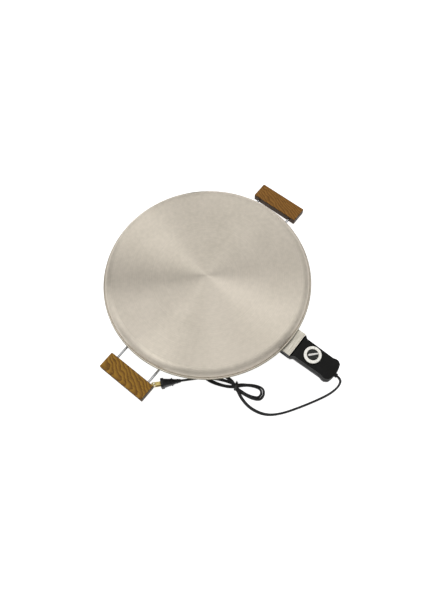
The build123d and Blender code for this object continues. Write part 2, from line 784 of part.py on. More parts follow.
for route, path, cord in ((lead_route, lead_path, lead_cord), (plug_route, plug_path, plug_cord)):
    path_length = path.wire().length
    section_volume = pi * cord_radius**2 * path_length
    print(cord.part.label, "bend radii", [round(radius, 1) for radius in bend_radii(route)])
    print("    length", round(path_length, 1), "volume ratio", round(cord.part.volume / section_volume, 4))

# the hank is two flattened loops of the lead either side of its tie
loops = [((-112.0, -196.5), 27.0, 15.5, 111.0), ((-131.5, -133.0), 33.0, 15.5, 101.0)]
waist_plane = Plane(origin=(*tie_centre, table_z), x_dir=(*polar(1, tie_angle), 0), z_dir=(0, 0, 1))
hank_height = hank_top_z - table_z
tie_width = 7.0
tie_sheet = 1.2
with BuildPart() as cord_hank:
    for centre, half_length, half_width, angle in loops:
        with BuildSketch(Plane(origin=(*centre, table_z), x_dir=(*polar(1, angle), 0), z_dir=(0, 0, 1))):
            Ellipse(half_length, half_width)
        extrude(amount=hank_height)
    with BuildSketch(waist_plane):
        Rectangle(tie_width + 1, 30)
    extrude(amount=hank_height, mode=Mode.SUBTRACT)
    with BuildSketch(waist_plane.offset(tie_sheet + 0.05)):
        Rectangle(24, 14)
    extrude(amount=hank_height - tie_sheet - 0.1)
cord_hank.part.label = "cord_hank"
export_step(cord_hank.part, "parts/cord_hank.step")

with BuildPart() as cord_tie:
    with BuildSketch(waist_plane):
        Rectangle(tie_width, 14 + 2 * tie_sheet + 0.1)
    extrude(amount=hank_height + tie_sheet)
    with BuildSketch(waist_plane.offset(tie_sheet)):
        Rectangle(tie_width + 1, 14.1)
    extrude(amount=hank_height - tie_sheet, mode=Mode.SUBTRACT)
cord_tie.part.label = "cord_tie"
export_step(cord_tie.part, "parts/cord_tie.step")

# the plug stands on its narrow side: the blades are one above the other
blade_direction = polar(1, plug_axis_angle)
across = (-blade_direction[1], blade_direction[0], 0)


def plug_plane(distance):
    """A plane across the plug, at a distance from the relief's end towards the blades."""
    x = plug_relief[0] + distance * blade_direction[0]
    y = plug_relief[1] + distance * blade_direction[1]
    return Plane(origin=(x, y, plug_relief[2]), x_dir=across, z_dir=(*blade_direction, 0))


with BuildPart() as plug_body:
    with BuildSketch(plug_plane(0)):
        RectangleRounded(8.0, 8.0, 2.5)
    with BuildSketch(plug_plane(14)):
        RectangleRounded(10.0, 12.5, 3)
    with BuildSketch(plug_plane(plug_length - 6)):
        RectangleRounded(15.0, 21.0, 4)
    loft(ruled=True)
    with BuildSketch(plug_plane(plug_length - 6)):
        RectangleRounded(plug_face_width, plug_face_height, 4)
    extrude(amount=6)
    with BuildSketch(plug_plane(plug_length)):
        with Locations((0, -blade_spacing / 2), (0, blade_spacing / 2)):
            Rectangle(blade_width + 0.1, blade_thickness + 0.1)
    extrude(amount=-12, mode=Mode.SUBTRACT)
plug_body.part.label = "plug_body"
export_step(plug_body.part, "parts/plug_body.step")

with BuildPart() as plug_blades:
    with BuildSketch(plug_plane(plug_length - 11.9)):
        with Locations((0, -blade_spacing / 2), (0, blade_spacing / 2)):
            Rectangle(blade_width, blade_thickness)
    extrude(amount=11.9 + blade_length)
    tip = plug_plane(plug_length + blade_length).origin
    upright = plug_blades.edges().filter_by(Axis.Z)
    chamfer(upright.filter_by(lambda edge: (edge.center() - tip).length < 9), 1.5)
    with BuildSketch(Plane(origin=plug_plane(plug_length + blade_length - 4.5).origin, z_dir=(0, 0, 1))):
        Circle(1.6)
    extrude(amount=15, both=True, mode=Mode.SUBTRACT)
plug_blades.part.label = "plug_blades"
export_step(plug_blades.part, "parts/plug_blades.step")
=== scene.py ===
"""Looks of the round electric griddle: spun plate, wooden grips, probe control, dial and tied lead.

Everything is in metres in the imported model's frame. The plate's cooking surface is at z = 0, the grips lie
along X and the probe control leaves along -Y.
"""
from __future__ import annotations

import json
import logging
import math
from collections.abc import Sequence
from dataclasses import dataclass
from enum import Enum

import bmesh
import bpy
from mathutils import Matrix, Vector


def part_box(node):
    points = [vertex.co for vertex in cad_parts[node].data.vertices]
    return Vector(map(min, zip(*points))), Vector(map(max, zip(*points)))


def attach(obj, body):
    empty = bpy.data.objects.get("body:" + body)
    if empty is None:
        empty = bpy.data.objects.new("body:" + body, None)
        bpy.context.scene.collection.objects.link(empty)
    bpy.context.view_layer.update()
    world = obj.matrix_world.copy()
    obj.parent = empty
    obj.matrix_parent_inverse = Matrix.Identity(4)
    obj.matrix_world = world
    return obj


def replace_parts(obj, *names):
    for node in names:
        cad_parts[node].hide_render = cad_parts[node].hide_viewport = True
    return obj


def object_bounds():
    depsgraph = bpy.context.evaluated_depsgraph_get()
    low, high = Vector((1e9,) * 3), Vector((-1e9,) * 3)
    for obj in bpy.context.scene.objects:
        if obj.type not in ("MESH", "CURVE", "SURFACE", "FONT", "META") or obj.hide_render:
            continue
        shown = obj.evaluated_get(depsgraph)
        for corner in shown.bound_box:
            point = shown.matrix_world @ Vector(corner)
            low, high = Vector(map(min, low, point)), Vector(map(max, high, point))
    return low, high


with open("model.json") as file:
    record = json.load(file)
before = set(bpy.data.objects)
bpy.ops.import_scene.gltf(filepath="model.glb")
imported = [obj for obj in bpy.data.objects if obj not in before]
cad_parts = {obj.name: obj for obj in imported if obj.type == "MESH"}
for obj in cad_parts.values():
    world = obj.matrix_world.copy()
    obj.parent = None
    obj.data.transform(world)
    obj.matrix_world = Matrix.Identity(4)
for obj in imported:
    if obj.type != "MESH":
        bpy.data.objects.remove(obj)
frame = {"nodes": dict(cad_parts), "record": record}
CAD_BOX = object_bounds()
log = logging.getLogger("griddle")

MM = 0.001
CAP_GAP = 0.35 * MM
Point = tuple[float, float, float]


# ---- small tools ----------------------------------------------------------------------------------
def linear(code: str) -> tuple[float, float, float, float]:
    """Turns an sRGB hex colour into linear RGBA.

    Args:
        code: six hex digits with a leading hash.

    Returns:
        The linear red, green, blue and an alpha of one.
    """
    channels = [int(code[i : i + 2], 16) / 255 for i in (1, 3, 5)]
    bent = [c / 12.92 if c <= 0.04045 else ((c + 0.055) / 1.055) ** 2.4 for c in channels]
    return (*bent, 1.0)


class Graph:
    """One node tree, with short ways of adding the nodes that repeat."""

    def __init__(self, tree: bpy.types.NodeTree) -> None:
        """Takes the tree to add to."""
        self.tree = tree

    def add(self, kind: str, inputs: dict | None = None, **settings) -> bpy.types.Node:
        """Adds one node with its settings, values and links.

        Args:
            kind: the node's Blender type name.
            inputs: socket name or number to a value or to an output socket.
            settings: attributes of the node.

        Returns:
            The new node.
        """
        node = self.tree.nodes.new(kind)
        for name, value in settings.items():
            setattr(node, name, value)
        for key, value in (inputs or {}).items():
            if isinstance(value, bpy.types.NodeSocket):
                self.tree.links.new(value, node.inputs[key])
            else:
                node.inputs[key].default_value = value
        return node

    def math(self, operation: str, *values) -> bpy.types.NodeSocket:
        """Works on numbers."""
        return self.add("ShaderNodeMath", dict(enumerate(values)), operation=operation).outputs[0]

    def vector(self, operation: str, *values, output: int | str = 0) -> bpy.types.NodeSocket:
        """Works on vectors."""
        return self.add("ShaderNodeVectorMath", dict(enumerate(values)), operation=operation).outputs[output]

    def scaled(self, vector: bpy.types.NodeSocket, factor) -> bpy.types.NodeSocket:
        """Makes a vector longer or shorter."""
        return self.add("ShaderNodeVectorMath", {0: vector, "Scale": factor}, operation="SCALE").outputs[0]


def new_object(name: str, data: bpy.types.ID) -> bpy.types.Object:
    """Makes an object of some data and puts it in the scene."""
    item = bpy.data.objects.new(name, data)
    bpy.context.scene.collection.objects.link(item)
    return item


def plain_mesh(item: bpy.types.Object) -> bpy.types.Mesh:
    """Gives an object's evaluated shape as a new mesh."""
    return bpy.data.meshes.new_from_object(item.evaluated_get(bpy.context.evaluated_depsgraph_get()))


def piece(name: str, points: Sequence, faces: Sequence, material: bpy.types.Material, sharp: float = 35.0):
    """Makes a mesh object with outward faces, smooth but for its sharp edges.

    Args:
        name: the object's name.
        points: its vertices, in metres.
        faces: its faces, as vertex numbers.
        material: the material of every face.
        sharp: the angle in degrees past which an edge stays crisp.

    Returns:
        The object, at the origin.
    """
    mesh = bpy.data.meshes.new(name)
    mesh.from_pydata([tuple(p) for p in points], [], faces)
    work = bmesh.new()
    work.from_mesh(mesh)
    bmesh.ops.remove_doubles(work, verts=work.verts, dist=1e-6)
    bmesh.ops.dissolve_degenerate(work, edges=work.edges, dist=1e-7)
    bmesh.ops.recalc_face_normals(work, faces=work.faces)
    work.to_mesh(mesh)
    work.free()
    mesh.shade_smooth()
    mesh.set_sharp_from_angle(angle=math.radians(sharp))
    mesh.materials.append(material)
    return new_object(name, mesh)


def loft(name: str, loops: Sequence[Sequence], material: bpy.types.Material, sharp: float = 35.0):
    """Skins a stack of closed loops of equal length and caps both ends.

    Args:
        name: the object's name.
        loops: the loops, each a list of points.
        material: the material.
        sharp: the angle in degrees past which an edge stays crisp.

    Returns:
        The closed object.
    """
    count = len(loops[0])
    points = [p for loop in loops for p in loop]
    faces = []
    for level in range(len(loops) - 1):
        a, b = level * count, (level + 1) * count
        faces += [(a + i, a + (i + 1) % count, b + (i + 1) % count, b + i) for i in range(count)]
    faces.append(tuple(range(count)))
    last = (len(loops) - 1) * count
    faces.append(tuple(last + i for i in reversed(range(count))))
    return piece(name, points, faces, material, sharp)


def lathe(
    name: str,
    profile: Sequence,
    material: bpy.types.Material,
    centre=(0.0, 0.0),
    steps: int = 96,
    sharp: float = 35.0,
    shape=None,
) -> bpy.types.Object:
    """Turns a profile round a vertical axis.

    Args:
        name: the object's name.
        profile: (radius, height) pairs; a ring's profile repeats its first pair, and a solid's starts and
            ends on the axis.
        material: the material.
        centre: where the axis stands, x and y.
        steps: how many facets go round.
        sharp: the angle in degrees past which an edge stays crisp.
        shape: an optional function of (radius, height, angle) that gives a new radius and height.

    Returns:
        The turned object.
    """
    points, faces, count = [], [], len(profile)
    for i in range(steps):
        angle = 2 * math.pi * i / steps
        for radius, height in profile:
            r, z = shape(radius, height, angle) if shape else (radius, height)
            points.append((centre[0] + r * math.cos(angle), centre[1] + r * math.sin(angle), z))
        a, b = i * count, (i + 1) % steps * count
        faces += [(a + k, b + k, b + k + 1, a + k + 1) for k in range(count - 1)]
    return piece(name, points, faces, material, sharp)


def arc(centre: Sequence[float], radii: Sequence[float], start: float, end: float, steps: int) -> list:
    """Points along an elliptical arc.

    Args:
        centre: the ellipse's centre.
        radii: its two half-axes.
        start: the first angle, in degrees.
        end: the last angle, in degrees.
        steps: how many runs the arc has.

    Returns:
        steps + 1 points.
    """
    angles = [math.radians(start + (end - start) * i / steps) for i in range(steps + 1)]
    return [(centre[0] + radii[0] * math.cos(a), centre[1] + radii[1] * math.sin(a)) for a in angles]


def rounded_outline(corners: Sequence[tuple[float, float]], radius: float, steps: int = 5) -> list:
    """Rounds each corner of a closed outline.

    Args:
        corners: the outline's corners.
        radius: how far from a corner its rounding starts.
        steps: runs in each rounding.

    Returns:
        The outline's points.
    """
    rounded = []
    for before, corner, after in zip(corners[-1:] + corners[:-1], corners, corners[1:] + corners[:1]):
        c = Vector(corner)
        ways = [Vector(before) - c, Vector(after) - c]
        ends = [c + way.normalized() * min(radius, way.length * 0.45) for way in ways]
        for i in range(steps + 1):
            t = i / steps
            rounded.append((1 - t) ** 2 * ends[0] + 2 * t * (1 - t) * c + t * t * ends[1])
    return rounded


def inset(outline: Sequence[Vector], distance: float) -> list[Vector]:
    """Moves an anticlockwise outline inwards.

    Args:
        outline: the outline's points.
        distance: how far each point moves in.

    Returns:
        The moved points.
    """
    moved = []
    for i, p in enumerate(outline):
        along = (outline[(i + 1) % len(outline)] - outline[i - 1]).normalized()
        moved.append(p + Vector((-along.y, along.x)) * distance)
    return moved


# ---- finishes -------------------------------------------------------------------------------------
class Slot(Enum):
    """The record's material slots."""

    PLATE = "spun_aluminium"
    PAN = "pan_aluminium"
    CAST = "cast_aluminium"
    COVER = "brushed_cover"
    ZINC = "zinc_steel"
    SHEATH = "element_sheath"
    CERAMIC = "ceramic"
    PADS = "rubber_pads"
    WOOD = "oiled_wood"
    CHROME = "chromed_steel"
    PHENOLIC = "phenolic"
    RING = "ivory_plastic"
    KNOB = "knob_plastic"
    BAR = "bar_plastic"
    JACKET = "cord_jacket"
    TIE = "tie_plastic"
    VINYL = "plug_vinyl"
    BRASS = "brass_parts"


class Surface(Graph):
    """A material's tree, with its shader and the object coordinates that patterns lie on."""

    def __init__(self, finish: Finish) -> None:
        """Makes the material with a finish's plain values.

        Args:
            finish: the finish that it starts from.
        """
        self.material = bpy.data.materials.new(finish.name)
        self.material.use_nodes = True
        super().__init__(self.material.node_tree)
        self.shader = self.tree.nodes["Principled BSDF"]
        self.shader.inputs["Base Color"].default_value = linear(finish.colour)
        self.shader.inputs["Metallic"].default_value = finish.metallic
        self.shader.inputs["Roughness"].default_value = finish.roughness
        self.shader.inputs["IOR"].default_value = finish.ior
        self.place = self.add("ShaderNodeTexCoord").outputs["Object"]
        self.facing = self.add("ShaderNodeTexCoord").outputs["Normal"]

    def noise(self, vector: bpy.types.NodeSocket, scale: float, detail: float, output: int = 0):
        """Adds a noise pattern and gives its value, or its colour as output 1."""
        inputs = {"Vector": vector, "Scale": scale, "Detail": detail}
        return self.add("ShaderNodeTexNoise", inputs).outputs[output]

    def span(self, value, low: float, high: float, first: float = 0.0, last: float = 1.0):
        """Stretches low..high to first..last, and holds what lies beyond."""
        return self.add("ShaderNodeMapRange", {0: value, 1: low, 2: high, 3: first, 4: last}).outputs[0]

    def blend(self, factor: bpy.types.NodeSocket, first, second: str) -> bpy.types.NodeSocket:
        """Mixes two colours, given as hex codes or as sockets."""
        first = linear(first) if isinstance(first, str) else first
        inputs = {0: factor, 6: first, 7: linear(second)}
        return self.add("ShaderNodeMix", inputs, data_type="RGBA").outputs[2]

    def feed(self, **inputs: bpy.types.NodeSocket) -> None:
        """Links sockets to the shader's inputs, with an underscore for a space."""
        for name, socket in inputs.items():
            self.tree.links.new(socket, self.shader.inputs[name.replace("_", " ")])

    def bump(self, height, strength: float, distance: float, invert: bool = False) -> None:
        """Gives the surface relief."""
        inputs = {"Height": height, "Strength": strength, "Distance": distance}
        self.feed(Normal=self.add("ShaderNodeBump", inputs, invert=invert).outputs[0])


@dataclass(frozen=True)
class Finish:
    """What every finish starts from: a colour and a shader's typical values."""

    name: str
    colour: str
    metallic: float = 0.0
    roughness: float = 0.5
    ior: float = 1.5


@dataclass(frozen=True)
class SpunAluminium(Finish):
    """Aluminium brushed in circles on a spinning jig: fine rings, and gloss that opens out in fans."""

    dark: str = "#B9B1A3"
    metallic: float = 1.0
    ring_mm: float = 1.5
    anisotropy: float = 0.95

    def build(self) -> bpy.types.Material:
        """Makes the material, with its rings centred on the Z axis."""
        g = Surface(self)
        flat = g.vector("MULTIPLY", g.place, (1, 1, 0))
        radius = g.vector("LENGTH", flat, output="Value")
        # real brushing is finer than the eye can part here, so its rings are drawn coarser
        turns = g.math("MULTIPLY", radius, 1 / (self.ring_mm * MM))
        pattern = {"W": turns, "Scale": 1.0, "Detail": 3.0, "Roughness": 0.75}
        rings = g.add("ShaderNodeTexNoise", pattern, noise_dimensions="1D").outputs[0]
        # each scratch runs only part of the way round
        marks = g.math("MULTIPLY", rings, g.noise(g.place, 120.0, 4.0))
        mixed = g.math("ADD", marks, g.noise(g.place, 7.0, 2.0))
        g.feed(Base_Color=g.blend(g.span(mixed, 0.5, 1.0), self.dark, self.colour))
        g.feed(Roughness=g.span(mixed, 0.5, 1.0, self.roughness - 0.03, self.roughness + 0.05))
        g.bump(marks, 0.1, 0.04 * MM)
        # gloss spreads across the scratches, which run round the axis and lie in the surface
        round_way = g.vector("CROSS_PRODUCT", (0, 0, 1), flat)
        across = g.vector("CROSS_PRODUCT", round_way, g.facing)
        g.feed(Tangent=g.vector("NORMALIZE", across))
        g.shader.inputs["Anisotropic"].default_value = self.anisotropy
        return g.material


@dataclass(frozen=True)
class BrushedAluminium(Finish):
    """Aluminium sheet brushed one way: straight hairlines along X."""

    dark: str = "#BDB5A4"
    metallic: float = 1.0
    line_mm: float = 1.0

    def build(self) -> bpy.types.Material:
        """Makes the material, with hairlines at a pitch that still shows."""
        g = Surface(self)
        lines = g.noise(g.vector("MULTIPLY", g.place, (0.05, 1, 1)), 1 / (self.line_mm * MM), 4.0)
        g.feed(Base_Color=g.blend(g.span(lines, 0.35, 0.65), self.dark, self.colour))
        g.bump(lines, 0.3, 0.08 * MM)
        return g.material


@dataclass(frozen=True)
class OiledOak(Finish):
    """Golden oak under oil: dark growth bands that arch along the grip, and sides darkened with painted
    shade.
    """

    band: str = "#6A4614"
    pore: str = "#2E1C08"
    # painted shade: the near-black that the sides and ends are mixed towards
    side: str = "#120A04"
    roughness: float = 0.5
    ior: float = 1.25
    band_mm: float = 6.5
    arch: float = 0.45
    heart: Point = (0.0, 0.0, 0.0)

    def build(self) -> bpy.types.Material:
        """Makes the material, with its grain along Y."""
        g = Surface(self)
        moved = g.add("ShaderNodeMapping", {"Vector": g.place, "Location": self.heart}).outputs[0]
        drift = g.noise(moved, 55.0, 3.0, output=1)
        bent = g.vector("ADD", moved, g.scaled(drift, 0.012))
        # growth rings are nested cones round the heart, so a flat cut shows arches
        round_heart = g.vector("LENGTH", g.vector("MULTIPLY", bent, (1, 0, 1)), output="Value")
        length = g.add("ShaderNodeSeparateXYZ", {0: bent}).outputs["Y"]
        depth = g.math("MULTIPLY_ADD", length, -self.arch, round_heart)
        year = g.math("FRACT", g.math("MULTIPLY", depth, 1 / (self.band_mm * MM)))
        # a band darkens slowly through the year and ends sharply
        ramp = g.add("ShaderNodeValToRGB", {0: year})
        ramp.color_ramp.elements[0].position = 0.15
        ramp.color_ramp.elements[1].position = 0.88
        ramp.color_ramp.elements.new(0.98).color = (0, 0, 0, 1)
        pores = g.noise(g.vector("MULTIPLY", g.place, (1, 0.06, 1)), 1100.0, 2.0)
        deep = g.span(pores, 0.55, 0.68)
        wood = g.blend(ramp.outputs[0], self.colour, self.band)
        dark = g.blend(g.math("MULTIPLY", deep, 0.5), wood, self.pore)
        # painted shade: the sides and ends darken the more their faces turn from up, standing in for the
        # shadow on them
        upward = g.add("ShaderNodeSeparateXYZ", {0: g.facing}).outputs["Z"]
        side_shade = g.span(g.math("ABSOLUTE", upward), 0.55, 0.9, 0.85, 0.0)
        g.feed(Base_Color=g.blend(side_shade, dark, self.side))
        g.bump(deep, 0.4, 0.3 * MM, invert=True)
        return g.material


@dataclass(frozen=True)
class Moulded(Finish):
    """A moulded or fired piece: a fine skin, dulled in places by handling."""

    grain_mm: float = 0.7
    relief: float = 0.1
    worn: str = "#3A3A38"

    def build(self) -> bpy.types.Material:
        """Makes the material."""
        g = Surface(self)
        skin = g.noise(g.place, 1 / (self.grain_mm * MM), 2.0)
        wear = g.noise(g.place, 70.0, 3.0)
        g.feed(Roughness=g.span(wear, 0.3, 0.7, self.roughness - 0.06, self.roughness + 0.09))
        g.feed(Base_Color=g.blend(g.span(wear, 0.45, 0.8), self.colour, self.worn))
        g.bump(skin, self.relief, 0.2 * MM)
        return g.material


@dataclass(frozen=True)
class Plated(Finish):
    """A plated or bare metal: even, with faint wipe marks and tarnish."""

    metallic: float = 1.0
    roughness: float = 0.2
    stain: str = "#8A8880"

    def build(self) -> bpy.types.Material:
        """Makes the material."""
        g = Surface(self)
        marks = g.noise(g.place, 140.0, 4.0)
        g.feed(Roughness=g.span(marks, 0.3, 0.7, self.roughness * 0.7, self.roughness * 1.4))
        g.feed(Base_Color=g.blend(g.span(marks, 0.5, 0.8), self.colour, self.stain))
        return g.material


class Palette:
    """The object's finishes, one for each material slot of the record."""

    def __init__(self) -> None:
        """Makes every material once."""
        finishes = [
            (Slot.PLATE, SpunAluminium("spun aluminium", "#DBD2C4", roughness=0.37, dark="#C0B8AA")),
            (
                Slot.PAN,
                SpunAluminium("pressed aluminium", "#C4C1B9", roughness=0.4, dark="#A9A69E", anisotropy=0.4),
            ),
            (Slot.CAST, Plated("cast aluminium", "#9E9C97", roughness=0.5, stain="#7C7A75")),
            (
                Slot.COVER,
                BrushedAluminium("brushed aluminium sheet", "#CDC8BC", roughness=0.45, dark="#A8A396"),
            ),
            (Slot.ZINC, Plated("zinc-plated steel", "#B9B9B2", roughness=0.32, stain="#8F8C7C")),
            (Slot.CHROME, Plated("chromed steel", "#B9BABB", roughness=0.14, stain="#8C8D8E")),
            (Slot.SHEATH, Plated("heat-darkened sheath", "#4C4944", roughness=0.5, stain="#2F2A24")),
            (Slot.CERAMIC, Moulded("fired ceramic", "#E6E1D5", roughness=0.7, worn="#CFC8B8")),
            (Slot.PHENOLIC, Moulded("moulded phenolic", "#0D0D0B", roughness=0.45, ior=1.22, worn="#161614")),
            (Slot.PADS, Moulded("moulded rubber", "#1B1B1A", roughness=0.8, relief=0.25)),
            (Slot.BRASS, Plated("stamped brass", "#B9A76C", roughness=0.32, stain="#75663A")),
            (Slot.RING, Moulded("ivory urea plastic", "#FFFDF5", roughness=0.4, relief=0.05, worn="#F6F2E6")),
            (Slot.KNOB, Moulded("charcoal plastic", "#1E201C", roughness=0.42, ior=1.3, worn="#2A2C28")),
            (Slot.BAR, Moulded("white inlay plastic", "#F2F0EA", roughness=0.35, worn="#C9C7C0")),
            (
                Slot.JACKET,
                Moulded(
                    "extruded rubber jacket", "#111112", ior=1.4, grain_mm=0.5, relief=0.2, worn="#1E1E1F"
                ),
            ),
            (Slot.TIE, Moulded("plastic strip", "#171717", roughness=0.35)),
            (Slot.VINYL, Moulded("moulded vinyl", "#111111", ior=1.4, relief=0.15, worn="#1E1E1E")),
        ]
        self.by_slot = {slot.value: finish.build() for slot, finish in finishes}
        self.near_oak = OiledOak("oiled oak, arched", "#9E7426", heart=(0.248, 0.0, 0.0415)).build()
        far_heart = (-0.222, 0.0, 0.046)
        straight = OiledOak("oiled oak, straight", "#93662C", heart=far_heart, band_mm=4.5, arch=0.3)
        self.far_oak = straight.build()
        self.by_slot[Slot.WOOD.value] = self.near_oak
        self.marking = Moulded("grey marking ink", "#B5B0A4", roughness=0.6, worn="#A39E92").build()
        # painted shade: a darker aluminium for the notch and the outside of the bead, standing in for their
        # shadow
        self.painted_shade_metal = Plated("aluminium in painted shade", "#8F8A79", roughness=0.5, stain="#7B7666").build()
        # painted highlight: a near-white colour for the light caught along the guard cover's folded edge
        self.lip = BrushedAluminium("folded edge, painted highlight", "#F7F1E6", roughness=0.3, dark="#E6DFD0").build()

    def __getitem__(self, slot: Slot) -> bpy.types.Material:
        """Gives a slot's material."""
        return self.by_slot[slot.value]

    def dress(self, replaced: set[str]) -> None:
        """Gives every CAD node that stays in view its finish.

        Args:
            replaced: the nodes that other pieces stand for.
        """
        for part in frame["record"]["subparts"]:
            name = part["node"]
            if name in replaced:
                continue
            material = self.far_oak if name == "far_grip" else self.by_slot[part["material_slot"]]
            for material_slot in frame["nodes"][name].material_slots:
                material_slot.material = material
            log.info("CAD node %s wears %s", name, material.name)


# ---- repeated details, made by Geometry Nodes -----------------------------------------------------
class Repeater(Graph):
    """A Geometry Nodes tree with named inputs, run once on a blank object and made a plain mesh."""

    def __init__(self, name: str, inputs: dict[str, tuple[str, object]]) -> None:
        """Starts the tree.

        Args:
            name: the tree's name.
            inputs: each input's name, to its socket type and its value.
        """
        super().__init__(bpy.data.node_groups.new(name, "GeometryNodeTree"))
        self.values: dict[str, object] = {}
        for label, (kind, value) in inputs.items():
            socket = self.tree.interface.new_socket(label, in_out="INPUT", socket_type=f"NodeSocket{kind}")
            self.values[socket.identifier] = value
        self.tree.interface.new_socket("Geometry", in_out="OUTPUT", socket_type="NodeSocketGeometry")
        self.given = self.add("NodeGroupInput").outputs

    def finish(
        self, name: str, copies: bpy.types.NodeSocket, material: bpy.types.Material, sharp: float = 35.0
    ) -> bpy.types.Object:
        """Ends the tree with plain geometry and its material, and runs it.

        Args:
            name: the new object's name.
            copies: the socket that gives the instances.
            material: the material of every copy.
            sharp: the angle in degrees past which an edge stays crisp.

        Returns:
            The plain mesh object.
        """
        real = self.add("GeometryNodeRealizeInstances", {0: copies}).outputs[0]
        dressed = self.add("GeometryNodeSetMaterial", {0: real, "Material": material}).outputs[0]
        self.add("NodeGroupOutput", {0: dressed})
        item = new_object(name, bpy.data.meshes.new(name))
        modifier = item.modifiers.new("repeat", "NODES")
        modifier.node_group = self.tree
        for identifier, value in self.values.items():
            modifier[identifier] = value
        mesh = plain_mesh(item)
        item.modifiers.clear()
        item.data = mesh
        mesh.shade_smooth()
        mesh.set_sharp_from_angle(angle=math.radians(sharp))
        return item


def bars_round_ring(
    name: str, count: int, centre: Point, radius: float, size: Point, first: float, last: float, material
) -> bpy.types.Object:
    """Stands bars at even angles round a ring, each pointing outwards.

    Args:
        name: the object's name.
        count: how many bars.
        centre: the ring's centre.
        radius: from the centre to the middle of a bar.
        size: a bar's length outwards, width and height.
        first: the first bar's angle in degrees.
        last: the last bar's angle in degrees.
        material: the bars' material.

    Returns:
        The bars as one mesh.
    """
    rep = Repeater(
        "bars round a ring",
        {
            "Count": ("Int", count),
            "Centre": ("Vector", centre),
            "Radius": ("Float", radius),
            "Size": ("Vector", size),
            "First Angle": ("Float", math.radians(first)),
            "Step": ("Float", math.radians((last - first) / (count - 1))),
        },
    )
    given = rep.given
    index = rep.add("GeometryNodeInputIndex").outputs[0]
    angle = rep.math("MULTIPLY_ADD", index, given["Step"], given["First Angle"])
    out = rep.add("ShaderNodeCombineXYZ", {0: given["Radius"]}).outputs[0]
    turned = rep.add("ShaderNodeVectorRotate", {"Vector": out, "Angle": angle}, rotation_type="Z_AXIS")
    place = rep.vector("ADD", turned.outputs[0], given["Centre"])
    points = rep.add("GeometryNodePoints", {"Count": given["Count"], "Position": place}).outputs[0]
    bar = rep.add("GeometryNodeMeshCube", {"Size": given["Size"]}).outputs[0]
    spin = rep.add("ShaderNodeCombineXYZ", {2: angle}).outputs[0]
    inputs = {"Points": points, "Instance": bar, "Rotation": spin}
    copies = rep.add("GeometryNodeInstanceOnPoints", inputs).outputs[0]
    return rep.finish(name, copies, material)


def ribs_along_line(
    name: str, count: int, start: Point, step: Point, radii: tuple[float, float], thickness: float, material
) -> bpy.types.Object:
    """Threads round ribs on a straight line, from a wide one to a narrow one.

    Args:
        name: the object's name.
        count: how many ribs.
        start: the first rib's centre.
        step: from one rib to the next.
        radii: the first and the last rib's radius, to the middle of its round section.
        thickness: the radius of a rib's round section.
        material: the ribs' material.

    Returns:
        The ribs as one mesh.
    """
    rep = Repeater(
        "ribs along a line",
        {
            "Count": ("Int", count),
            "Start": ("Vector", start),
            "Step": ("Vector", step),
            "First Radius": ("Float", radii[0]),
            "Shrink": ("Float", (radii[1] / radii[0]) ** (1 / (count - 1))),
            "Thickness": ("Float", thickness),
        },
    )
    given = rep.given
    index = rep.add("GeometryNodeInputIndex").outputs[0]
    place = rep.vector("ADD", rep.scaled(given["Step"], index), given["Start"])
    points = rep.add("GeometryNodePoints", {"Count": given["Count"], "Position": place}).outputs[0]
    circle = "GeometryNodeCurvePrimitiveCircle"
    hoop = rep.add(circle, {"Resolution": 40, "Radius": given["First Radius"]}).outputs[0]
    section = rep.add(circle, {"Resolution": 10, "Radius": given["Thickness"]}).outputs[0]
    rib = rep.add("GeometryNodeCurveToMesh", {"Curve": hoop, "Profile Curve": section}).outputs[0]
    turn = rep.add("FunctionNodeAlignRotationToVector", {"Vector": given["Step"]}, axis="Z").outputs[0]
    size = rep.math("POWER", given["Shrink"], index)
    inputs = {"Points": points, "Instance": rib, "Rotation": turn, "Scale": size}
    copies = rep.add("GeometryNodeInstanceOnPoints", inputs).outputs[0]
    return rep.finish(name, copies, material, sharp=60.0)


